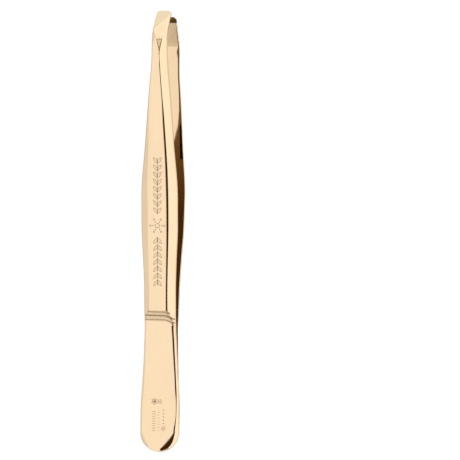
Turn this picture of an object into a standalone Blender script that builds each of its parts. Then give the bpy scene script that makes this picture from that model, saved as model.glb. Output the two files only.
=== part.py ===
"""Claw-tipped stamp tongs: two gold-plated steel arms, spot-welded together at the handle end.

The tongs lie on one side, as they rest on a table. +Y runs from the welded end to the tips, X is
the way that the arms open, and Z runs across their width. The front arm is the one at -X.

Each arm is one strip of steel. It is thin and springy next to the weld, steps up to full thickness
at the shoulder, widens to the grip, narrows to a ridge, and bends inwards into a flat jaw. It bends
where it is thin, and here it turns there about a hinge line, so each arm is two solids: the leaf
that is welded, and the blade that moves.
"""

import math

import bmesh
import bpy
import numpy as np
from mathutils import Matrix, Vector

MM = 0.001

# Overall sizes.
LENGTH = 95 * MM
HANDLE_WIDTH = 8.5 * MM
GRIP_WIDTH = 7.8 * MM
OPENING = 21.2 * MM  # across the outsides of the two bends
MID_HEIGHT = HANDLE_WIDTH / 2

# Each row is (distance from the welded end, value there).
WIDTHS = [
    (HANDLE_WIDTH / 2, HANDLE_WIDTH),
    (9.0 * MM, HANDLE_WIDTH),
    (16.0 * MM, 7.85 * MM),
    (22.0 * MM, 7.25 * MM),
    (28.8 * MM, 6.85 * MM),
    (35.0 * MM, 6.85 * MM),
    (41.5 * MM, 7.2 * MM),
    (49.0 * MM, GRIP_WIDTH),
    (55.0 * MM, GRIP_WIDTH),
    (66.5 * MM, 6.15 * MM),
    (76.8 * MM, 4.6 * MM),
    (84.6 * MM, 3.4 * MM),
    (95.0 * MM, 3.15 * MM),
]
SEAM = 0.1 * MM  # between the two leaves where they are welded
HALF_GAPS = [
    (0.0 * MM, SEAM / 2),
    (11.0 * MM, SEAM / 2),
    (16.0 * MM, 0.14 * MM),
    (19.0 * MM, 0.34 * MM),
    (31.0 * MM, 2.07 * MM),
    (53.7 * MM, 5.6 * MM),
    (70.0 * MM, 7.75 * MM),
]
THICKNESSES = [
    (0.0 * MM, 0.78 * MM),
    (9.0 * MM, 0.78 * MM),
    (13.0 * MM, 0.55 * MM),
    (28.0 * MM, 0.55 * MM),
    (29.9 * MM, 1.6 * MM),
    (34.0 * MM, 1.65 * MM),
    (45.0 * MM, 1.4 * MM),
    (54.0 * MM, 1.25 * MM),
    (84.0 * MM, 1.05 * MM),
    (88.0 * MM, 1.0 * MM),
    (94.0 * MM, 0.6 * MM),
]
# Half the width of the flat down the middle of the outer face. The bevels fall away on both sides.
HALF_FLATS = [
    (28.0 * MM, 2.9 * MM),
    (29.9 * MM, 1.75 * MM),
    (48.0 * MM, 1.8 * MM),
    (60.0 * MM, 1.6 * MM),
    (72.5 * MM, 0.88 * MM),
    (86.0 * MM, 0.05 * MM),
    (89.0 * MM, 0.55 * MM),
    (91.0 * MM, 1.25 * MM),
    (95.0 * MM, 1.2 * MM),
]
# Height of the square edge, from the inner face to where the bevel starts.
EDGE_HEIGHTS = [
    (0.0 * MM, 0.6 * MM),
    (13.0 * MM, 0.4 * MM),
    (28.0 * MM, 0.4 * MM),
    (29.9 * MM, 0.65 * MM),
    (84.0 * MM, 0.45 * MM),
    (95.0 * MM, 0.4 * MM),
]
HANDLE_CHAMFER = 0.25 * MM
END_FLAT = 1.7 * MM  # across the very end, where the half circle starts

# The bend and the jaw. A heading is the angle from +Y towards the outside of the tongs.
BEND_OUTER_RADIUS = 5.0 * MM
BEND_THICKNESS = 1.0 * MM
BLADE_HEADING = math.radians(5.7)
JAW_HEADING = math.radians(-49)
TIP_GAP = 7.26 * MM
TIP_THICKNESS = THICKNESSES[-1][1]

# The hinge line that stands for the bending of the thin stretch.
FLEX_LINE = 17 * MM
FLEX_CLEARANCE = 0.2 * MM

WELDS = (4.5 * MM, 9.0 * MM)
WELD_RADIUS = 1.4 * MM
WELD_THICKNESS = 0.06 * MM

STATION_STEP = 1.5 * MM
SLOPE_STEP = 0.1 * MM
ROUND_END_STEPS = 8
BEND_STEPS = 10
JAW_STEPS = 4
WELD_SIDES = 32

GOLD_PLATE, POLISHED = (0.93, 0.73, 0.44, 1), 0.15
WELD_STEEL, MATTE = (0.55, 0.50, 0.42, 1), 0.5


def smooth_value(rows, distance):
    """The value at a distance, on a smooth curve through the rows that never overshoots them."""
    places, values = np.array(rows).T
    steps, rises = np.diff(places), np.diff(values)
    slopes = rises / steps
    tangents = np.zeros(len(rows))
    tangents[0], tangents[-1] = slopes[0], slopes[-1]
    for i in range(1, len(rows) - 1):
        if slopes[i - 1] * slopes[i] > 0:
            tangents[i] = 2 / (1 / slopes[i - 1] + 1 / slopes[i])
    i = int(np.clip(np.searchsorted(places, distance, side="right") - 1, 0, len(steps) - 1))
    t = float(np.clip((distance - places[i]) / steps[i], 0, 1))
    return (
        values[i] * (1 + 2 * t) * (1 - t) ** 2
        + values[i + 1] * t * t * (3 - 2 * t)
        + steps[i] * t * (1 - t) * (tangents[i] * (1 - t) - tangents[i + 1] * t)
    )


def straight_value(rows, distance):
    """The value at a distance, on straight lines between the rows."""
    places, values = np.array(rows).T
    return float(np.interp(distance, places, values))


def width_at(distance):
    """The arm's width. The welded end is a half circle."""
    radius = HANDLE_WIDTH / 2
    if distance < radius:
        angle = math.acos(1 - distance / radius)
        return max(HANDLE_WIDTH * math.sin(angle), END_FLAT)
    return smooth_value(WIDTHS, distance)


def section_at(distance):
    """The corners (across, outwards) of the section there, in order round the arm."""
    half = width_at(distance) / 2
    thickness = straight_value(THICKNESSES, distance)
    edge = straight_value(EDGE_HEIGHTS, distance)
    if distance < HALF_FLATS[0][0]:
        flat = half - min(HANDLE_CHAMFER, half / 2)
    else:
        flat = smooth_value(HALF_FLATS, distance)
    return [(-half, 0), (half, 0), (half, edge), (flat, thickness), (-flat, thickness), (-half, edge)]


def along(heading):
    return Vector((math.sin(heading), math.cos(heading)))


def outwards(heading):
    return Vector((math.cos(heading), -math.sin(heading)))


def inner_face_path():
    """(point, heading) along the inner face at +X, from the welded end to the tip."""
    inner_radius = BEND_OUTER_RADIUS - BEND_THICKNESS
    tip = Vector((TIP_GAP / 2, LENGTH - TIP_THICKNESS * outwards(JAW_HEADING).y))
    centre_x = OPENING / 2 - BEND_OUTER_RADIUS
    bend_end_x = centre_x + inner_radius * outwards(JAW_HEADING).x
    jaw_length = (bend_end_x - tip.x) / -along(JAW_HEADING).x
    bend_end = tip - jaw_length * along(JAW_HEADING)
    centre = bend_end - inner_radius * outwards(JAW_HEADING)
    bend_start = centre + inner_radius * outwards(BLADE_HEADING)
    half_gaps = HALF_GAPS + [(bend_start.y, bend_start.x)]

    path = []
    for y in straight_stations(bend_start.y):
        rise = smooth_value(half_gaps, y + SLOPE_STEP) - smooth_value(half_gaps, y)
        path.append((Vector((smooth_value(half_gaps, y), y)), math.atan2(rise, SLOPE_STEP)))
    for heading in np.linspace(BLADE_HEADING, JAW_HEADING, BEND_STEPS + 1):
        path.append((centre + inner_radius * outwards(heading), heading))
    for share in np.linspace(0, 1, JAW_STEPS + 1)[1:]:
        path.append((bend_end.lerp(tip, share), JAW_HEADING))
    return path


def straight_stations(end):
    """Distances up to the bend: the round end, an even spacing, and every place where a size turns."""
    radius = HANDLE_WIDTH / 2
    angles = np.linspace(0, math.pi / 2, ROUND_END_STEPS + 1)
    turns = [row[0] for rows in (WIDTHS, THICKNESSES, HALF_FLATS) for row in rows]
    turns += [FLEX_LINE - FLEX_CLEARANCE / 2, FLEX_LINE + FLEX_CLEARANCE / 2]
    even = np.arange(radius + STATION_STEP, end, STATION_STEP)
    fixed = sorted({round(place, 6) for place in turns if radius < place < end - STATION_STEP / 2})
    filler = [y for y in even if min(abs(y - place) for place in fixed) > STATION_STEP / 3]
    return sorted([radius * (1 - math.cos(angle)) for angle in angles] + fixed + filler)


def material(name, colour, roughness):
    made = bpy.data.materials.new(name)
    made.use_nodes = True
    shader = made.node_tree.nodes["Principled BSDF"]
    shader.inputs["Base Color"].default_value = colour
    shader.inputs["Metallic"].default_value = 1.0
    shader.inputs["Roughness"].default_value = roughness
    made.diffuse_color = colour
    return made


def add_object(name, mesh, origin, colour, roughness, collection):
    mesh.materials.append(material(name + "_metal", colour, roughness))
    made = bpy.data.objects.new(name, mesh)
    made.location = origin
    collection.objects.link(made)
    return made


def world_point(side, x, y, z):
    """From an arm's own place to the part's frame, which has its origin in the middle of the base."""
    return Vector((side * x, y - LENGTH / 2, z))


def add_arm_part(name, side, start, end, origin, collection):
    """The stretch of one arm from start to end, lofted through its sections."""
    bm = bmesh.new()
    rings = []
    for point, heading in inner_face_path():
        if not start <= round(point.y, 6) <= end:
            continue
        ring = []
        for across, out in section_at(point.y):
            place = point + out * outwards(heading)
            ring.append(bm.verts.new(world_point(side, place.x, place.y, MID_HEIGHT + across) - origin))
        rings.append(ring)
    for ring, following in zip(rings, rings[1:]):
        for i in range(len(ring)):
            bm.faces.new((ring[i - 1], ring[i], following[i], following[i - 1]))
    bm.faces.new(rings[0])
    bm.faces.new(rings[-1])
    bmesh.ops.recalc_face_normals(bm, faces=bm.faces)
    mesh = bpy.data.meshes.new(name)
    bm.to_mesh(mesh)
    bm.free()
    return add_object(name, mesh, origin, GOLD_PLATE, POLISHED, collection)


def hinge_point(side):
    """The middle of the thin stretch's thickness, on the flex line."""
    x = smooth_value(HALF_GAPS, FLEX_LINE) + straight_value(THICKNESSES, FLEX_LINE) / 2
    return world_point(side, x, FLEX_LINE, MID_HEIGHT)


def add_arm(name, side, collection):
    add_arm_part(name + "_leaf", side, 0, FLEX_LINE - FLEX_CLEARANCE / 2,
                 world_point(side, 0, 0, MID_HEIGHT), collection)
    add_arm_part(name + "_blade", side, FLEX_LINE + FLEX_CLEARANCE / 2, LENGTH,
                 hinge_point(side), collection)


def add_weld(number, distance, collection):
    """One spot weld: a disc of fused steel between the leaves."""
    name = f"spot_weld_{number}"
    bm = bmesh.new()
    bmesh.ops.create_cone(bm, cap_ends=True, segments=WELD_SIDES, radius1=WELD_RADIUS,
                          radius2=WELD_RADIUS, depth=WELD_THICKNESS,
                          matrix=Matrix.Rotation(math.pi / 2, 4, "Y"))
    mesh = bpy.data.meshes.new(name)
    bm.to_mesh(mesh)
    bm.free()
    add_object(name, mesh, world_point(1, 0, distance, MID_HEIGHT), WELD_STEEL, MATTE, collection)


def main():
    for obj in list(bpy.data.objects):
        bpy.data.objects.remove(obj)
    collection = bpy.data.collections.new("stamp_tongs")
    bpy.context.scene.collection.children.link(collection)
    add_arm("front", -1, collection)
    add_arm("rear", 1, collection)
    for number, distance in enumerate(WELDS, start=1):
        add_weld(number, distance, collection)


main()
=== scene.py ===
"""The looks of the claw-tipped stamp tongs: polished gold-plated arms on a white studio floor.

Each arm is lofted again, finer than the CAD and in one piece, with soft ridges, a crowned handle
end, a filleted shoulder and rounded edges.
Lengths are in metres. Distances run along an arm from its welded end. In an arm's section, z runs
across its width from the middle, and out runs from the inner face to the outer one.
"""

import math

import bmesh
import bpy
import numpy as np
from mathutils import Matrix, Vector


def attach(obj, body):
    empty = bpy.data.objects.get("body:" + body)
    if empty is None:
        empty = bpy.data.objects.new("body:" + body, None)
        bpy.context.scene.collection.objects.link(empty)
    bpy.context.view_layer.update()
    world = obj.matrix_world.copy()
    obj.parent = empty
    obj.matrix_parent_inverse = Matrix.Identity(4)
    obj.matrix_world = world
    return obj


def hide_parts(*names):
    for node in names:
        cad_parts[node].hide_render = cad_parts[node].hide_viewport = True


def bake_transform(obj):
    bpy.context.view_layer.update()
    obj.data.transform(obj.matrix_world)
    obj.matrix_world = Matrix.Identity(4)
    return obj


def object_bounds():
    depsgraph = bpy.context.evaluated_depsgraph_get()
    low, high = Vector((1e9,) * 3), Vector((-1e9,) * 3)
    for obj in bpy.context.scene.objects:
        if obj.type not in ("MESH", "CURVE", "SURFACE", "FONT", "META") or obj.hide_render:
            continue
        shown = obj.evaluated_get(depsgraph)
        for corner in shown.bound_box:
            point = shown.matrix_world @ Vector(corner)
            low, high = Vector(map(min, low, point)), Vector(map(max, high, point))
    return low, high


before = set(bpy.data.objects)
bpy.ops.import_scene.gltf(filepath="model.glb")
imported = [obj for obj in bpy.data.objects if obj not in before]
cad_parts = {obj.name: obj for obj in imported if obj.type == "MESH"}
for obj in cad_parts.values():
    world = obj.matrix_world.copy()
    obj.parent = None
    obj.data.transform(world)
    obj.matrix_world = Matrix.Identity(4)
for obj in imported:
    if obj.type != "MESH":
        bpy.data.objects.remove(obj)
cad_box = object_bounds()

MM = 0.001

# ---------------------------------------------------------------- sizes from the frame
LOW, HIGH = Vector(cad_box[0]), Vector(cad_box[1])
LENGTH = HIGH.y - LOW.y
OPENING = HIGH.x - LOW.x
HANDLE_WIDTH = HIGH.z - LOW.z
MID_HEIGHT = (LOW.z + HIGH.z) / 2
END_RADIUS = HANDLE_WIDTH / 2

# ---------------------------------------------------------------- the arm's design
# Each row is (distance from the welded end, value there).
WIDTHS = [
    (END_RADIUS, HANDLE_WIDTH),
    (9.0 * MM, HANDLE_WIDTH),
    (16.0 * MM, 7.85 * MM),
    (22.0 * MM, 7.25 * MM),
    (28.8 * MM, 6.85 * MM),
    (35.0 * MM, 6.85 * MM),
    (41.5 * MM, 7.2 * MM),
    (49.0 * MM, 7.8 * MM),
    (55.0 * MM, 7.8 * MM),
    (66.5 * MM, 6.15 * MM),
    (76.8 * MM, 4.6 * MM),
    (84.6 * MM, 3.4 * MM),
    (95.0 * MM, 3.15 * MM),
]
SEAM = 0.1 * MM
HALF_GAPS = [
    (0.0 * MM, SEAM / 2),
    (11.0 * MM, SEAM / 2),
    (16.0 * MM, 0.14 * MM),
    (19.0 * MM, 0.34 * MM),
    (31.0 * MM, 2.07 * MM),
    (53.7 * MM, 5.6 * MM),
    (70.0 * MM, 7.75 * MM),
]
THICKNESSES = [
    (0.0 * MM, 0.78 * MM),
    (9.0 * MM, 0.78 * MM),
    (13.0 * MM, 0.55 * MM),
    (28.0 * MM, 0.55 * MM),
    (28.7 * MM, 0.68 * MM),
    (28.9 * MM, 0.66 * MM),
    (29.3 * MM, 0.9 * MM),
    (29.6 * MM, 0.94 * MM),
    (29.8 * MM, 0.9 * MM),
    (30.2 * MM, 1.42 * MM),
    (30.4 * MM, 1.46 * MM),
    (30.6 * MM, 1.42 * MM),
    (31.0 * MM, 1.63 * MM),
    (34.0 * MM, 1.65 * MM),
    (45.0 * MM, 1.4 * MM),
    (54.0 * MM, 1.25 * MM),
    (84.0 * MM, 1.05 * MM),
    (88.0 * MM, 1.0 * MM),
    (94.0 * MM, 0.6 * MM),
]
# Half the width of the outer face's middle flat, up to the middle of the rounding beside it.
HALF_FLATS = [
    (0.0 * MM, END_RADIUS - 0.8 * MM),
    (4.0 * MM, END_RADIUS - 0.74 * MM),
    (9.0 * MM, END_RADIUS - 0.55 * MM),
    (16.0 * MM, 3.4 * MM),
    (22.0 * MM, 3.02 * MM),
    (27.9 * MM, 2.7 * MM),
    (29.4 * MM, 2.45 * MM),
    (30.8 * MM, 1.75 * MM),
    (48.0 * MM, 1.8 * MM),
    (60.0 * MM, 1.6 * MM),
    (72.5 * MM, 0.88 * MM),
    (85.2 * MM, 0.05 * MM),
    (87.9 * MM, 0.55 * MM),
    (89.9 * MM, 1.2 * MM),
    (92.0 * MM, 1.42 * MM),
    (95.0 * MM, 1.4 * MM),
]
# How much wider the flat is on its lower side: the arms are ground by hand, and not quite evenly.
LOWER_FLATS = [
    (0.0 * MM, 0.5 * MM),
    (26.0 * MM, 0.45 * MM),
    (31.0 * MM, 0.35 * MM),
    (50.0 * MM, 0.35 * MM),
    (60.0 * MM, 0.2 * MM),
    (84.0 * MM, 0.0 * MM),
]
RIDGE_ROUNDINGS = [
    (0.0 * MM, 1.55 * MM),
    (4.3 * MM, 1.5 * MM),
    (6.5 * MM, 0.6 * MM),
    (8.5 * MM, 0.35 * MM),
    (11.0 * MM, 0.4 * MM),
    (14.0 * MM, 0.75 * MM),
    (28.0 * MM, 0.75 * MM),
    (31.0 * MM, 0.95 * MM),
    (45.0 * MM, 0.75 * MM),
    (70.5 * MM, 0.6 * MM),
    (76.5 * MM, 0.26 * MM),
    (87.5 * MM, 0.2 * MM),
    (88.2 * MM, 0.06 * MM),
    (95.0 * MM, 0.1 * MM),
]
# Height of the square edge, from the inner face to where the bevel starts.
EDGE_HEIGHTS = [
    (0.0 * MM, 0.28 * MM),
    (4.0 * MM, 0.28 * MM),
    (9.0 * MM, 0.45 * MM),
    (13.0 * MM, 0.3 * MM),
    (28.0 * MM, 0.3 * MM),
    (30.8 * MM, 0.72 * MM),
    (54.0 * MM, 0.55 * MM),
    (84.0 * MM, 0.45 * MM),
    (95.0 * MM, 0.4 * MM),
]
# How far the inner face is hollow in the middle.
HOLLOWS = [
    (0.0 * MM, 0.0 * MM),
    (24.0 * MM, 0.0 * MM),
    (60.0 * MM, 0.08 * MM),
    (84.0 * MM, 0.06 * MM),
    (88.0 * MM, 0.0 * MM),
]
# How far each edge's rounding reaches across the face, and down the square edge.
INNER_EDGE_REACH, INNER_EDGE_DEPTH = 0.4 * MM, 0.08 * MM
OUTER_EDGE_REACH, OUTER_EDGE_DEPTH = 0.2 * MM, 0.12 * MM
TIP_CORNER_RADIUS = 0.35 * MM
# The buffing wheel rounds the corners of the welded end more than its sides.
END_WEAR = 0.95 * MM

# The bevel between the flat and the square edge is at least this wide and this high.
LEAST_BEVEL_WIDTH, LEAST_BEVEL_HEIGHT = 0.3 * MM, 0.1 * MM

BEND_OUTER_RADIUS = 5.0 * MM
BEND_THICKNESS = 1.0 * MM
BLADE_HEADING = math.radians(5.7)
JAW_HEADING = math.radians(-49)
TIP_GAP = 7.26 * MM
TIP_THICKNESS = THICKNESSES[-1][1]

# The loft's rings stand this far apart, and closer together at the shoulder.
RING_STEP, SHOULDER_RING_STEP = 0.6 * MM, 0.1 * MM
SHOULDER_RINGS_FROM, SHOULDER_RINGS_TO = 27.4 * MM, 31.4 * MM
# The rings of the bend and of the jaw after it, and the steps in which the round end is turned.
BEND_RINGS, JAW_RINGS, END_STEPS = 25, 16, 24
# Steps across half a section's inner face, and round its inner edge, outer edge and ridge.
INNER_FACE_STEPS, INNER_EDGE_STEPS, OUTER_EDGE_STEPS, RIDGE_STEPS = 4, 8, 6, 10

# Where the finish changes. The grinder leaves the jaws matte. The polishing wheel doesn't reach
# into the shoulder's grooves, or the small triangle where the ridge opens out into the jaw, and the
# plate there is painted darker: painted shade in the grooves, a painted dark reflection on the
# triangle.
JAW_GROUND_FROM = 89.4 * MM
TIP_CHAMFER_FROM = 93.95 * MM
JAW_FACE_FROM = 88.1 * MM
TRIANGLE = (85.2 * MM, 87.9 * MM)
SHOULDER = (28.5 * MM, 30.9 * MM)
GROOVES = [(28.75 * MM, 28.95 * MM), (29.65 * MM, 29.95 * MM), (30.45 * MM, 30.7 * MM)]
# This groove runs on over the bevels.
LONG_GROOVE = GROOVES[1]
# Beyond this height above the arm's middle the shoulder sweeps back towards the handle.
SWEEP_FROM, SWEEP_SLOPE = 1.5 * MM, 0.5
SWEEP_REACH = [(24.5 * MM, 0.0), (28.2 * MM, 1.0), (30.8 * MM, 1.0), (34.5 * MM, 0.0)]

# The arm's finishes, each by its place among the arm's materials.
POLISHED, INNER_JAW, OUTER_JAW, DULL_SHADED, PAINTED_DARK_PLATE, SHADED_END_FACE, EDGE = range(7)


# ---------------------------------------------------------------- curves through rows
def smooth_value(rows, distance):
    """The value at a distance, on a smooth curve through the rows that never overshoots them."""
    places, values = np.array(rows).T
    steps, rises = np.diff(places), np.diff(values)
    slopes = rises / steps
    tangents = np.zeros(len(rows))
    tangents[0], tangents[-1] = slopes[0], slopes[-1]
    for i in range(1, len(rows) - 1):
        if slopes[i - 1] * slopes[i] > 0:
            tangents[i] = 2 / (1 / slopes[i - 1] + 1 / slopes[i])
    i = int(np.clip(np.searchsorted(places, distance, side="right") - 1, 0, len(steps) - 1))
    t = np.clip((distance - places[i]) / steps[i], 0, 1)
    return float(
        values[i] * (1 + 2 * t) * (1 - t) ** 2
        + values[i + 1] * t * t * (3 - 2 * t)
        + steps[i] * t * (1 - t) * (tangents[i] * (1 - t) - tangents[i + 1] * t)
    )


def along(heading):
    """The direction of travel along an arm, where a heading of 0 points to the tips."""
    return Vector((math.sin(heading), math.cos(heading)))


def outwards(heading):
    """The direction from an arm's inner face to its outer one."""
    return Vector((math.cos(heading), -math.sin(heading)))


# ---------------------------------------------------------------- the arm's path
def spaced(start, end, step):
    """Evenly spaced distances from start up to end, end left out."""
    return np.arange(start, end - step / 2, step).tolist()


def straight_distances(end):
    """Distances from the round end to the bend, close together at the shoulder."""
    return (
        spaced(END_RADIUS, SHOULDER_RINGS_FROM, RING_STEP)
        + spaced(SHOULDER_RINGS_FROM, SHOULDER_RINGS_TO, SHOULDER_RING_STEP)
        + spaced(SHOULDER_RINGS_TO, end, RING_STEP)
    )


def inner_face_path():
    """(point, heading) along the inner face at +X, from the end of the round end to the tip."""
    inner_radius = BEND_OUTER_RADIUS - BEND_THICKNESS
    tip = Vector((TIP_GAP / 2, LENGTH - TIP_THICKNESS * outwards(JAW_HEADING).y))
    centre_x = OPENING / 2 - BEND_OUTER_RADIUS
    bend_end_x = centre_x + inner_radius * outwards(JAW_HEADING).x
    jaw_length = (bend_end_x - tip.x) / -along(JAW_HEADING).x
    bend_end = tip - jaw_length * along(JAW_HEADING)
    centre = bend_end - inner_radius * outwards(JAW_HEADING)
    bend_start = centre + inner_radius * outwards(BLADE_HEADING)
    half_gaps = HALF_GAPS + [(bend_start.y, bend_start.x)]

    path = []
    step = 0.1 * MM
    for y in straight_distances(bend_start.y):
        rise = smooth_value(half_gaps, y + step) - smooth_value(half_gaps, y - step)
        path.append((Vector((smooth_value(half_gaps, y), y)), math.atan2(rise, 2 * step)))
    for heading in np.linspace(BLADE_HEADING, JAW_HEADING, BEND_RINGS).tolist():
        path.append((centre + inner_radius * outwards(heading), heading))
    # The rings come closer together towards the tip's rounded corners.
    for share in (1 - np.linspace(1, 0, JAW_RINGS + 1)[1:] ** 2).tolist():
        path.append((bend_end.lerp(tip, share), JAW_HEADING))
    return path


# ---------------------------------------------------------------- the arm's section
def rounded_corner(before, corner, after, steps):
    """Points along the curve that leaves one side at `before` and joins the next at `after`."""
    points = []
    for t in np.linspace(0, 1, steps + 1).tolist():
        points.append((1 - t) ** 2 * before + 2 * t * (1 - t) * corner + t * t * after)
    return points


def outer_finishes(distance):
    """The finish of the outer face's flat, of its roundings and of its bevels."""
    if distance > JAW_FACE_FROM:
        return OUTER_JAW, OUTER_JAW, POLISHED
    # The ridge's end and the triangle get darker plate: a painted dark reflection.
    if distance > TRIANGLE[1]:
        return PAINTED_DARK_PLATE, PAINTED_DARK_PLATE, POLISHED
    if distance > TRIANGLE[0]:
        return DULL_SHADED, PAINTED_DARK_PLATE, POLISHED
    if LONG_GROOVE[0] < distance < LONG_GROOVE[1]:
        return PAINTED_DARK_PLATE, PAINTED_DARK_PLATE, PAINTED_DARK_PLATE
    if any(start < distance < end for start, end in GROOVES):
        return PAINTED_DARK_PLATE, PAINTED_DARK_PLATE, POLISHED
    if SHOULDER[0] < distance < SHOULDER[1]:
        # Painted shade: the shoulder and the triangle's flat get darker, rougher plate.
        return DULL_SHADED, DULL_SHADED, POLISHED
    return POLISHED, POLISHED, POLISHED


def half_section(distance, outer_distance, half_width, lower=0, wear=0):
    """(z, out, finish of the face that follows) from the inner face's middle to the outer one's.

    lower is 1 for the lower half, 0 for the upper one, or between them on the round end. wear is
    how much wider the rounding beside the flat is than its row says.
    """
    thickness = smooth_value(THICKNESSES, distance)
    edge = min(smooth_value(EDGE_HEIGHTS, distance), thickness - LEAST_BEVEL_HEIGHT)
    flat = smooth_value(HALF_FLATS, outer_distance)
    flat += lower * smooth_value(LOWER_FLATS, outer_distance)
    flat = min(flat, half_width - LEAST_BEVEL_WIDTH) - wear / 2
    hollow = smooth_value(HOLLOWS, distance)
    fall = Vector((half_width - flat, edge - thickness))
    bevel = fall / fall.x
    edge_reach = min(OUTER_EDGE_REACH, fall.x / 3)
    rounding = (smooth_value(RIDGE_ROUNDINGS, outer_distance) + wear) / 2
    rounding = min(rounding, fall.x - edge_reach, flat)
    ridge = Vector((flat, thickness))
    side = Vector((0, 1))

    on_inner = INNER_JAW if distance > JAW_GROUND_FROM else POLISHED
    on_edge = POLISHED
    # Past the tip's chamfer the faces are painted near-black: painted shade.
    if distance > TIP_CHAMFER_FROM:
        on_inner = on_edge = SHADED_END_FACE
    on_flat, on_ridge, on_bevel = outer_finishes(outer_distance)
    reach = half_width - INNER_EDGE_REACH
    points = [
        (share * reach, hollow * (1 - share**2), on_inner)
        for share in np.linspace(0, 1, INNER_FACE_STEPS + 1)[:-1].tolist()
    ]
    inner_corner = Vector((half_width, 0))
    outer_corner = Vector((half_width, edge))
    inner_rounding = rounded_corner(
        Vector((reach, 0)),
        inner_corner,
        inner_corner + INNER_EDGE_DEPTH * side,
        INNER_EDGE_STEPS,
    )
    outer_rounding = rounded_corner(
        outer_corner - OUTER_EDGE_DEPTH * side,
        outer_corner,
        outer_corner - edge_reach * bevel,
        OUTER_EDGE_STEPS,
    )
    ridge_rounding = rounded_corner(
        ridge + rounding * bevel, ridge, ridge - Vector((rounding, 0)), RIDGE_STEPS
    )
    points += [(p.x, p.y, on_edge) for p in inner_rounding[:-1]]
    points.append((*inner_rounding[-1], EDGE))
    points += [(p.x, p.y, EDGE) for p in outer_rounding[:-1]]
    points.append((*outer_rounding[-1], on_bevel))
    points += [(p.x, p.y, on_ridge) for p in ridge_rounding[:-1]]
    points.append((*ridge_rounding[-1], on_flat))
    points += [((flat - rounding) / 2, thickness, on_flat), (0, thickness, on_flat)]
    return points


def half_width_at(distance, tip_distance):
    """Half the arm's width, drawn in round the tip's corners."""
    half = smooth_value(WIDTHS, distance) / 2
    short = max(TIP_CORNER_RADIUS - tip_distance, 0)
    return half - TIP_CORNER_RADIUS + math.sqrt(TIP_CORNER_RADIUS**2 - short**2)


def swept_back(distance, z):
    """How far the shoulder's lines lie back towards the handle at a height above the middle."""
    return max(z - SWEEP_FROM, 0) * SWEEP_SLOPE * smooth_value(SWEEP_REACH, distance)


# ---------------------------------------------------------------- the arm's mesh
def mesh_from(bm, name):
    """A mesh of the bmesh's faces, with all of them facing out."""
    bmesh.ops.recalc_face_normals(bm, faces=bm.faces)
    mesh = bpy.data.meshes.new(name)
    bm.to_mesh(mesh)
    bm.free()
    return mesh


def arm_mesh(name, side):
    """One arm as a closed mesh: a loft through its sections, and a turned round end."""
    bm = bmesh.new()

    def vertex(x, y, z):
        return bm.verts.new((side * x, y + LOW.y, z + MID_HEIGHT))

    def strip(ring, following, kinds):
        """Faces between two rings. Where the rings share a vertex, the face is a triangle."""
        for i, kind in enumerate(kinds):
            corners = (ring[i], ring[i + 1], following[i + 1], following[i])
            corners = [v for k, v in enumerate(corners) if v not in corners[:k]]
            bm.faces.new(corners).material_index = kind

    path = inner_face_path()
    tip = path[-1][0]
    rings = []
    for point, heading in path:
        outer_distance = point.y + smooth_value(THICKNESSES, point.y) * outwards(heading).y
        width = half_width_at(point.y, (tip - point).length)
        upper = half_section(point.y, outer_distance, width)
        lower = half_section(point.y, outer_distance, width, lower=1)
        ring = []
        for z, out, _ in upper + [(-z, out, kind) for z, out, kind in lower[-2:0:-1]]:
            place = point + out * outwards(heading) - swept_back(point.y, z) * along(heading)
            ring.append(vertex(place.x, place.y, z))
        kinds = [kind for _, _, kind in upper[:-1]]
        if rings:
            strip(rings[-1] + rings[-1][:1], ring + ring[:1], kinds + kinds[::-1])
        rings.append(ring)
    # The tip's end face is painted near-black: painted shade.
    bm.faces.new(rings[-1]).material_index = SHADED_END_FACE

    # The round end is the first ring's upper half, turned about the middle into its lower half.
    first = rings[0]
    section = half_section(END_RADIUS, END_RADIUS, END_RADIUS)
    kinds = [kind if kind == EDGE else POLISHED for _, _, kind in section[:-1]]
    outer_middle = first[len(section) - 1]
    spokes = [first[: len(section)]]
    for step in range(1, END_STEPS):
        angle = math.pi * step / END_STEPS
        wear = END_WEAR * abs(math.sin(2 * angle))
        lower_share = (1 - math.cos(angle)) / 2
        section = half_section(END_RADIUS, END_RADIUS, END_RADIUS, lower_share, wear)
        spoke = [first[0]]
        for z, out, _ in section[1:-1]:
            y = END_RADIUS - z * math.sin(angle)
            spoke.append(vertex(path[0][0].x + out, y, z * math.cos(angle)))
        spokes.append(spoke + [outer_middle])
    spokes.append([first[0]] + first[: len(section) - 2 : -1])
    for spoke, following in zip(spokes, spokes[1:]):
        strip(spoke, following, kinds)

    for face in bm.faces:
        face.smooth = True
    return mesh_from(bm, name)


def add_arm(name, side, nodes, materials):
    """One arm, which stands for its leaf and its blade."""
    arm = bpy.data.objects.new(name, arm_mesh(name, side))
    bpy.context.scene.collection.objects.link(arm)
    for made in materials:
        arm.data.materials.append(made)
    normals = arm.modifiers.new("even_faces", "WEIGHTED_NORMAL")
    normals.keep_sharp = True
    normals.weight = 80
    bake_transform(arm)
    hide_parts(*nodes)


# ---------------------------------------------------------------- ornament
STROKE_HEIGHT, STROKE_DEPTH = 0.004 * MM, 0.04 * MM
GRIP_STROKE, HANDLE_STROKE = 0.13 * MM, 0.12 * MM

# Places are (distance, height above the arm's middle).
ROSETTE = Vector((49.2 * MM, -0.35 * MM))
ROSETTE_RADIUS, ROSETTE_RAYS = 0.45 * MM, 6
RAY_FROM, RAY_TO, RAY_DOT = 0.7 * MM, 1.2 * MM, 1.5 * MM
RAY_DOT_RADIUS = 0.16 * MM
# Pairs of leaves on the branch towards the welded end, and on the one towards the tips.
LAUREL_PAIRS = {-1: 7, 1: 8}
LAUREL_FROM, LAUREL_STEP = 2.3 * MM, 1.5 * MM
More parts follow.
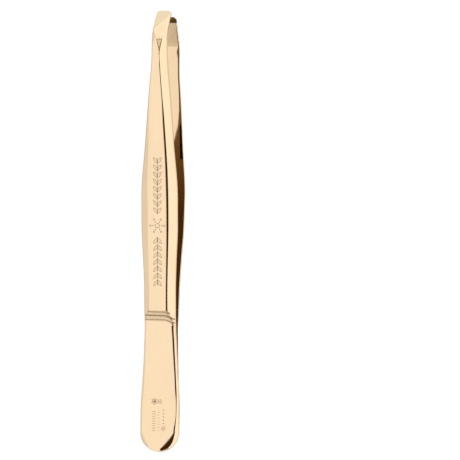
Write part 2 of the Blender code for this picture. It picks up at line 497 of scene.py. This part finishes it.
# A leaf's length and width, its slant in degrees, and the first pair's place as a share of a step.
LAUREL_LEAF = (1.45 * MM, 0.5 * MM)
LAUREL_SLANT = 35
FIRST_PAIR = 0.2
LEAF_POINTS, STEM_POINTS = 7, 20

RINGS = [(5.2 * MM, 0.85 * MM), (11.0 * MM, 0.05 * MM)]
RING_RADIUS, DOT_RADIUS = 0.4 * MM, 0.1 * MM
RING_POINTS, DOT_POINTS = 14, 8
FLORET = (11.0 * MM, -1.15 * MM)
FLORET_PETALS, PETAL = 6, (0.75 * MM, 0.28 * MM)
# Rows of (how many, where they start, step, lean along the arm, lowest height, highest height).
TICK_ROWS = [
    (9, 4.6 * MM, 0.52 * MM, 0.15 * MM, -1.6 * MM, -0.85 * MM),
    (7, 4.8 * MM, 0.65 * MM, 0.0 * MM, -0.35 * MM, -0.05 * MM),
]
DOTS, DOTS_FROM, DOTS_STEP, DOTS_HEIGHT = 5, 6.3 * MM, 0.7 * MM, 0.85 * MM


def outer_point(path, side, distance, across):
    """(point, outward direction) on the outer face's flat."""
    for (start, heading), (end, _) in zip(path, path[1:]):
        if start.y <= distance <= end.y:
            point = start.lerp(end, (distance - start.y) / (end.y - start.y))
            direction = outwards(heading)
            place = point + smooth_value(THICKNESSES, distance) * direction
            return (
                Vector((side * place.x, place.y + LOW.y, MID_HEIGHT + across)),
                Vector((side * direction.x, direction.y, 0)),
            )
    raise ValueError("the ornament lies off the arm's straight stretch")


def add_ornament(name, side, body, strokes, width, made):
    """Fine etched strokes, as (points, whether it closes).

    Each is a strip that follows the outer face and stands a hair above it.
    """
    path = inner_face_path()
    section = [(1, STROKE_HEIGHT), (-1, STROKE_HEIGHT), (-1, -STROKE_DEPTH), (1, -STROKE_DEPTH)]
    bm = bmesh.new()
    for stroke, closed in strokes:
        rings = []
        count = len(stroke)
        for i, (distance, across) in enumerate(stroke):
            before = Vector(stroke[i - 1] if closed or i else stroke[i])
            after = Vector(stroke[(i + 1) % count] if closed or i < count - 1 else stroke[i])
            forward = (after - before).normalized()
            sideways = Vector((-forward.y, forward.x)) * width / 2
            ring = []
            for sign, out in section:
                place = (distance + sign * sideways.x, across + sign * sideways.y)
                point, direction = outer_point(path, side, *place)
                ring.append(bm.verts.new(point + out * direction))
            rings.append(ring)
        pairs = zip(rings, rings[1:] + rings[:1]) if closed else zip(rings, rings[1:])
        for ring, following in pairs:
            for k in range(4):
                bm.faces.new((ring[k - 1], ring[k], following[k], following[k - 1]))
        if not closed:
            bm.faces.new(rings[0])
            bm.faces.new(rings[-1])
    ornament = bpy.data.objects.new(name, mesh_from(bm, name))
    bpy.context.scene.collection.objects.link(ornament)
    ornament.data.materials.append(made)
    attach(ornament, body)


def circle(distance, across, radius, steps=20):
    """A closed stroke round a centre on the arm."""
    return (
        [
            (distance + radius * math.cos(a), across + radius * math.sin(a))
            for a in np.linspace(0, 2 * math.pi, steps + 1)[:-1].tolist()
        ],
        True,
    )


def leaf(distance, across, length, width, angle):
    """A slim leaf, as two curved strokes that meet at both ends. It starts at the place given."""
    forward = Vector((math.cos(angle), math.sin(angle)))
    sideways = Vector((-forward.y, forward.x))
    strokes = []
    for sign in (-1, 1):
        points = []
        for t in np.linspace(0, 1, LEAF_POINTS).tolist():
            point = length * t * forward + sign * width / 2 * math.sin(math.pi * t) * sideways
            points.append((distance + point.x, across + point.y))
        strokes.append((points, False))
    return strokes


def grip_ornament():
    """A laurel branch along the grip on each side of a rosette."""
    strokes = [circle(*ROSETTE, ROSETTE_RADIUS)]
    for i in range(ROSETTE_RAYS):
        angle = 2 * math.pi * (i + 0.5) / ROSETTE_RAYS
        forward = Vector((math.cos(angle), math.sin(angle)))
        strokes.append(([ROSETTE + RAY_FROM * forward, ROSETTE + RAY_TO * forward], False))
        strokes.append(circle(*(ROSETTE + RAY_DOT * forward), RAY_DOT_RADIUS, DOT_POINTS))
    for sign, pairs in LAUREL_PAIRS.items():
        start = ROSETTE.x + sign * LAUREL_FROM
        step = sign * LAUREL_STEP
        stem = np.linspace(start, start + step * pairs, STEM_POINTS).tolist()
        strokes.append(([(place, ROSETTE.y) for place in stem], False))
        for i in range(pairs):
            for slant in (-LAUREL_SLANT, LAUREL_SLANT):
                heading = math.radians(slant if sign > 0 else 180 - slant)
                foot = start + step * (i + FIRST_PAIR)
                strokes += leaf(foot, ROSETTE.y, *LAUREL_LEAF, heading)
    return strokes


def handle_ornament():
    """A floret, two rings, and rows of ticks and dots near the welded end."""
    strokes = []
    for place in RINGS:
        strokes.append(circle(*place, RING_RADIUS, RING_POINTS))
        strokes.append(circle(*place, DOT_RADIUS, DOT_POINTS))
    for i in range(FLORET_PETALS):
        strokes += leaf(*FLORET, *PETAL, 2 * math.pi * i / FLORET_PETALS)
    for count, start, step, lean, low, high in TICK_ROWS:
        for i in range(count):
            place = start + step * i
            strokes.append(([(place, low), (place + lean, high)], False))
    for i in range(DOTS):
        strokes.append(circle(DOTS_FROM + DOTS_STEP * i, DOTS_HEIGHT, DOT_RADIUS, DOT_POINTS))
    return strokes


# ---------------------------------------------------------------- materials
MICRON = 1e-6
PLATE, WORN_PLATE = (0.935, 0.72, 0.475), (0.97, 0.82, 0.6)
# Where a metal's colour is deepest, it is this share of itself.
DEEP_SHARE = 0.965
# (scale, stretch) of the noise that the colour follows, and of the one that the roughness follows.
DRIFT_NOISE, SMEAR_NOISE = (220, 4), (900, 3)
SMEAR_RANGE = (0.3, 0.75)
# How far the wear reaches from an edge, how strong it is, and how much the surface has to turn
# there: the cosine where the wear is full, and where it begins.
WORN_EDGE, WEAR = 0.06 * MM, 0.5
WEAR_RANGE = (0.93, 0.995)
# A point on the slanting line of the outer jaw's painted shade, and the way across it.
JAW_SHADE_LINE = Vector((0, LOW.y + 91.2 * MM, MID_HEIGHT - 0.5 * MM))
ACROSS_JAW_SHADE_LINE = Vector((0, 1.47, -2.1)).normalized()
JAW_SHADE_SOFTNESS = 0.04 * MM


def new_material(name, colour, metallic, roughness):
    """A material, its node tree and its shader."""
    made = bpy.data.materials.new(name)
    made.use_nodes = True
    shader = made.node_tree.nodes["Principled BSDF"]
    shader.inputs["Base Color"].default_value = (*colour, 1)
    shader.inputs["Metallic"].default_value = metallic
    shader.inputs["Roughness"].default_value = roughness
    return made, made.node_tree, shader


def noise(tree, scale, stretch, detail=3):
    """Noise over the part, drawn out along the arms when stretch is more than 1."""
    place = tree.nodes.new("ShaderNodeTexCoord")
    mapping = tree.nodes.new("ShaderNodeMapping")
    mapping.inputs["Scale"].default_value = (1, 1 / stretch, 1)
    texture = tree.nodes.new("ShaderNodeTexNoise")
    texture.inputs["Scale"].default_value = scale
    texture.inputs["Detail"].default_value = detail
    tree.links.new(place.outputs["Object"], mapping.inputs["Vector"])
    tree.links.new(mapping.outputs["Vector"], texture.inputs["Vector"])
    return texture.outputs["Fac"]


def mapped(tree, value, low, high, start=0.35, end=0.65):
    """A value between start and end, spread from low to high."""
    node = tree.nodes.new("ShaderNodeMapRange")
    node.inputs["From Min"].default_value = start
    node.inputs["From Max"].default_value = end
    node.inputs["To Min"].default_value = low
    node.inputs["To Max"].default_value = high
    tree.links.new(value, node.inputs["Value"])
    return node.outputs["Result"]


def mixed(tree, share, first, second):
    """A colour between two colours. Either can be another node's output."""
    node = tree.nodes.new("ShaderNodeMix")
    node.data_type = "RGBA"
    tree.links.new(share, node.inputs["Factor"])
    for socket, colour in ((node.inputs["A"], first), (node.inputs["B"], second)):
        if isinstance(colour, tuple):
            socket.default_value = (*colour, 1)
        else:
            tree.links.new(colour, socket)
    return node.outputs["Result"]


def metal(name, colour, worn, roughness, lines, depth):
    """A metal: colour and roughness drift over it, edges are worn, fine lines run along it.

    roughness is (smoothest, roughest), lines is (scale, stretch) of the fine lines, and depth is
    how deep they are.
    """
    made, tree, shader = new_material(name, colour, 1, roughness[0])
    drift = mapped(tree, noise(tree, *DRIFT_NOISE), 0, 1)
    smear = mapped(tree, noise(tree, *SMEAR_NOISE), *roughness, *SMEAR_RANGE)
    tree.links.new(smear, shader.inputs["Roughness"])

    deep = tuple(DEEP_SHARE * channel for channel in colour)
    base = mixed(tree, drift, colour, deep)
    bevel = tree.nodes.new("ShaderNodeBevel")
    bevel.inputs["Radius"].default_value = WORN_EDGE
    geometry = tree.nodes.new("ShaderNodeNewGeometry")
    turned = tree.nodes.new("ShaderNodeVectorMath")
    turned.operation = "DOT_PRODUCT"
    tree.links.new(bevel.outputs["Normal"], turned.inputs[0])
    tree.links.new(geometry.outputs["Normal"], turned.inputs[1])
    rubbed = mapped(tree, turned.outputs["Value"], WEAR, 0, *WEAR_RANGE)
    tree.links.new(mixed(tree, rubbed, base, worn), shader.inputs["Base Color"])

    grain = noise(tree, *lines, detail=4)
    bump = tree.nodes.new("ShaderNodeBump")
    bump.inputs["Distance"].default_value = depth
    bump.inputs["Strength"].default_value = 1
    tree.links.new(grain, bump.inputs["Height"])
    tree.links.new(bump.outputs["Normal"], shader.inputs["Normal"])
    return made


def paint_jaw_shade(made, shade):
    """Painted shade: the jaw is a little darker on one side of a slanting line."""
    tree = made.node_tree
    shader = tree.nodes["Principled BSDF"]
    base = shader.inputs["Base Color"].links[0].from_socket
    place = tree.nodes.new("ShaderNodeTexCoord")
    offset = tree.nodes.new("ShaderNodeVectorMath")
    offset.operation = "SUBTRACT"
    offset.inputs[1].default_value = JAW_SHADE_LINE
    slant = tree.nodes.new("ShaderNodeVectorMath")
    slant.operation = "DOT_PRODUCT"
    slant.inputs[1].default_value = ACROSS_JAW_SHADE_LINE
    tree.links.new(place.outputs["Object"], offset.inputs[0])
    tree.links.new(offset.outputs["Vector"], slant.inputs[0])
    painted_shade = mapped(tree, slant.outputs["Value"], 0, 1, -JAW_SHADE_SOFTNESS, JAW_SHADE_SOFTNESS)
    tree.links.new(mixed(tree, painted_shade, base, shade), shader.inputs["Base Color"])


def polished_plate():
    """Gold plate off the buffing wheel."""
    return metal(
        "polished_gold_plate",
        colour=PLATE,
        worn=WORN_PLATE,
        roughness=(0.05, 0.09),
        lines=(2500, 30),
        depth=0.02 * MICRON,
    )


def inner_jaw_metal():
    """The claw's gripping face, ground and left matte."""
    return metal(
        "ground_inner_jaw",
        colour=(0.86, 0.655, 0.42),
        worn=WORN_PLATE,
        roughness=(0.36, 0.48),
        lines=(9000, 8),
        depth=0.25 * MICRON,
    )


def outer_jaw_metal():
    """The claw's outer face, ground, with painted shade on one side of a slanting line."""
    made = metal(
        "ground_outer_jaw",
        colour=(0.97, 0.78, 0.51),
        worn=WORN_PLATE,
        roughness=(0.2, 0.28),
        lines=(9000, 10),
        depth=0.05 * MICRON,
    )
    # Painted shade on one side of the jaw's slanting line.
    paint_jaw_shade(made, (0.83, 0.66, 0.42))
    return made


def dull_shaded_metal():
    """Plate where the polishing wheel hardly reaches: rougher, and painted darker as painted shade.
    """
    return metal(
        "unpolished_gold_painted_shade",
        colour=(0.8, 0.61, 0.4),
        worn=PLATE,
        roughness=(0.2, 0.3),
        lines=(6000, 2),
        depth=0.2 * MICRON,
    )


def painted_dark_metal():
    """Dark plate in the grooves and on the triangle at the bend: painted shade, and a painted dark
    reflection.
    """
    return metal(
        "painted_shade_dark_plate",
        colour=(0.46, 0.32, 0.18),
        worn=(0.65, 0.48, 0.3),
        roughness=(0.25, 0.4),
        lines=(6000, 2),
        depth=0.5 * MICRON,
    )


def shaded_end_face_metal():
    """The narrow faces at the very tip, ground, and painted near-black as painted shade."""
    return metal(
        "ground_end_face_painted_shade",
        colour=(0.13, 0.065, 0.02),
        worn=(0.4, 0.25, 0.12),
        roughness=(0.25, 0.4),
        lines=(9000, 3),
        depth=0.8 * MICRON,
    )


def edge_metal():
    """The square edges, brushed along their length."""
    return metal(
        "brushed_edge",
        colour=(0.74, 0.56, 0.36),
        worn=WORN_PLATE,
        roughness=(0.14, 0.24),
        lines=(5000, 20),
        depth=0.1 * MICRON,
    )


def arm_metals():
    """One metal for each finish, in the finishes' order."""
    return [
        polished_plate(),
        inner_jaw_metal(),
        outer_jaw_metal(),
        dull_shaded_metal(),
        painted_dark_metal(),
        shaded_end_face_metal(),
        edge_metal(),
    ]


def etched_gold():
    """Plate roughened and darkened by etching."""
    return metal(
        "etched_gold",
        colour=(0.52, 0.375, 0.225),
        worn=(0.66, 0.49, 0.31),
        roughness=(0.3, 0.45),
        lines=(9000, 1),
        depth=0.8 * MICRON,
    )


def weld_steel():
    """Bare steel, fused in the seam."""
    return metal(
        "weld_steel",
        colour=(0.5, 0.46, 0.4),
        worn=(0.6, 0.56, 0.5),
        roughness=(0.4, 0.6),
        lines=(3000, 1),
        depth=2 * MICRON,
    )


# ---------------------------------------------------------------- studio
CAMERA_DISTANCE = 280 * MM
CAMERA_ELEVATION = math.radians(8.28)
CAMERA_LEAN = math.radians(0.966)
# The camera turns a little to the right, so that the tongs stand left in the picture, and a hair
# upwards.
CAMERA_PAN, CAMERA_TILT = math.radians(-2.967), math.radians(0.1245)
SENSOR_WIDTH, FOCAL_LENGTH = 36, 100.88  # in millimetres
WORLD_STRENGTH = 1.14
FLOOR_REACH = 4
FLOOR_COLOUR, FLOOR_GLOW = (0.06, 0.06, 0.06), (0.965, 0.985)

# The dark strips, painted dark reflections, stand this far to each side. They run a little past the
# tips, and far past the handle.
STRIP_OFFSET, STRIP_HEIGHT = 70 * MM, 34 * MM
STRIP_FROM, STRIP_TO = -600 * MM, 75 * MM
STRIP_FADE = 10 * MM

# The other cards' outlines are rows of millimetres: (distance, height above the floor).
CARDS_SPLIT = [(60, 0.2), (70.5, 3.75), (78, 4.4), (86, 4.0), (93, 3.8)]
BROWN_CARD = [(13, 0.2)] + CARDS_SPLIT + [(93, 8.3), (13, 8.3)]
PALE_CARD = [(60, 0.2), (95, 0.2), (95, 3.8)] + CARDS_SPLIT[:0:-1]
BLACK_CARD = [(66.2, 5.25), (74, 4.75), (75.5, 8.4), (66.2, 8.4)]
CARDS_FADE = (54 * MM, 74 * MM)
BLACK_CARD_OFFSET = 0.05 * MM
# The painted shade on the floor, in rows of millimetres: (distance, half its width there).
CONTACT_SHADE = [(-1, 2.0), (25, 2.9), (31, 5.0), (53.7, 8.2), (87, 11.9), (96, 11.0)]
CONTACT_SHADE_HEIGHT = 0.05 * MM

# The colours that a card glows in, at one end and at the other, as painted reflections.
STRIP_COLOURS = ((0.9, 0.9, 0.9), (0.045, 0.019, 0.006))
BROWNS = ((0.058, 0.024, 0.005), (0.16, 0.085, 0.028))
PALE = ((0.98, 0.96, 0.93),) * 2
BLACK = ((0.005, 0.002, 0),) * 2
SHADE = ((0.84, 0.84, 0.84),) * 2


def add_camera():
    """The camera looks at the front arm's outer face from a little above, with the tips upwards."""
    back = Vector((-math.cos(CAMERA_ELEVATION), 0, math.sin(CAMERA_ELEVATION)))
    up = Vector((0, 1, 0))
    right = up.cross(back)
    leant_up = up * math.cos(CAMERA_LEAN) - right * math.sin(CAMERA_LEAN)
    basis = Matrix((leant_up.cross(back), leant_up, back)).transposed()
    turn = Matrix.Rotation(CAMERA_PAN, 3, "Y") @ Matrix.Rotation(CAMERA_TILT, 3, "X")
    place = Vector((0, 0, MID_HEIGHT)) + back * CAMERA_DISTANCE
    data = bpy.data.cameras.new("camera")
    data.sensor_width = SENSOR_WIDTH
    data.lens = FOCAL_LENGTH
    data.clip_start, data.clip_end = 0.01, 20
    camera = bpy.data.objects.new("camera", data)
    camera.matrix_world = Matrix.Translation(place) @ (basis @ turn).to_4x4()
    bpy.context.scene.collection.objects.link(camera)
    bpy.context.scene.camera = camera


def add_world():
    """White light from everywhere."""
    world = bpy.data.worlds.new("studio")
    world.use_nodes = True
    background = world.node_tree.nodes["Background"]
    background.inputs["Color"].default_value = (1, 1, 1, 1)
    background.inputs["Strength"].default_value = WORLD_STRENGTH
    bpy.context.scene.world = world


def flat_object(name, corners, made):
    """One flat face, as an object of its own."""
    mesh = bpy.data.meshes.new(name)
    mesh.from_pydata([Vector(c) for c in corners], [], [range(len(corners))])
    mesh.materials.append(made)
    flat = bpy.data.objects.new(name, mesh)
    bpy.context.scene.collection.objects.link(flat)
    return flat


def white_floor():
    """A matte material with its own glow, which drifts by a hair over the floor."""
    made, tree, shader = new_material("white_floor", FLOOR_COLOUR, 0, 0.8)
    shader.inputs["Specular IOR Level"].default_value = 0
    shader.inputs["Emission Color"].default_value = (1, 1, 1, 1)
    glow = mapped(tree, noise(tree, 3, 1), *FLOOR_GLOW)
    tree.links.new(glow, shader.inputs["Emission Strength"])
    return made


def add_floor():
    """A pale floor that is white all over, with only a trace of shade at the tongs."""
    around = ((-1, -1), (1, -1), (1, 1), (-1, 1))
    corners = [(x * FLOOR_REACH, y * FLOOR_REACH, LOW.z) for x, y in around]
    floor = flat_object("floor", corners, white_floor())


def add_card(name, corners, axis, start, end, colours):
    """A glowing card that only shows in the metal's reflections: a painted reflection.

    It glows in the first of two colours up to `start` on one axis, and in the second from `end`.
    """
    made, tree, shader = new_material(name, (0, 0, 0), 0, 1)
    shader.inputs["Specular IOR Level"].default_value = 0
    shader.inputs["Emission Strength"].default_value = 1
    place = tree.nodes.new("ShaderNodeTexCoord")
    split = tree.nodes.new("ShaderNodeSeparateXYZ")
    tree.links.new(place.outputs["Object"], split.inputs["Vector"])
    share = mapped(tree, split.outputs[axis], 0, 1, start, end)
    tree.links.new(mixed(tree, share, *colours), shader.inputs["Emission Color"])
    card = flat_object(name, corners, made)
    card.visible_camera = False
    card.visible_diffuse = False
    card.visible_shadow = False


def add_upright_card(name, x, rows, colours):
    """A card that stands along the arms, at x."""
    corners = [(x, LOW.y + y * MM, LOW.z + z * MM) for y, z in rows]
    start, end = CARDS_FADE
    add_card(name, corners, "Y", LOW.y + start, LOW.y + end, colours)


def add_side_strip(name, x):
    """A dark strip beside the tongs, pale at its foot: a painted dark reflection."""
    along_strip = ((STRIP_FROM, 0), (STRIP_TO, 0), (STRIP_TO, 1), (STRIP_FROM, 1))
    corners = [(x, y, STRIP_HEIGHT if top else LOW.z) for y, top in along_strip]
    add_card(name, corners, "Z", LOW.z, LOW.z + STRIP_FADE, STRIP_COLOURS)


def add_contact_shade():
    """Painted shade on the floor under the arms: a grey glowing card, for the arms' undersides to
    reflect.
    """
    corners = []
    for side, rows in ((1, CONTACT_SHADE), (-1, CONTACT_SHADE[::-1])):
        for y, half_width in rows:
            corners.append((side * half_width * MM, LOW.y + y * MM, LOW.z + CONTACT_SHADE_HEIGHT))
    add_card("contact_shade", corners, "Z", 0, 1, SHADE)


def add_cards():
    """Painted reflections: dark strips on both sides, cards between the arms, and painted shade on
    the floor beneath them.

    The brown card paints the arms' reflections in each other. Near the claws a pale card fills
    the space below it, and a small black one beside it paints a near-black reflection.
    """
    add_side_strip("dark_strip_left", -STRIP_OFFSET)
    add_side_strip("dark_strip_right", STRIP_OFFSET)
    add_upright_card("brown_card_between", 0, BROWN_CARD, BROWNS)
    add_upright_card("pale_card_at_tips", 0, PALE_CARD, PALE)
    add_upright_card("black_card_between", BLACK_CARD_OFFSET, BLACK_CARD, BLACK)
    add_contact_shade()


def main():
    metals = arm_metals()
    add_arm("front_arm_plated", -1, ["front_leaf", "front_blade"], metals)
    add_arm("rear_arm_plated", 1, ["rear_leaf", "rear_blade"], metals)
    etched = etched_gold()
    add_ornament("grip_ornament", -1, "front_arm", grip_ornament(), GRIP_STROKE, etched)
    add_ornament("handle_ornament", -1, "handle", handle_ornament(), HANDLE_STROKE, etched)
    steel = weld_steel()
    for weld in ("spot_weld_1", "spot_weld_2"):
        node = bpy.data.objects[weld]
        node.data.materials.clear()
        node.data.materials.append(steel)
    add_camera()
    add_world()
    add_floor()
    add_cards()
    bpy.context.scene.view_settings.view_transform = "Standard"


main()
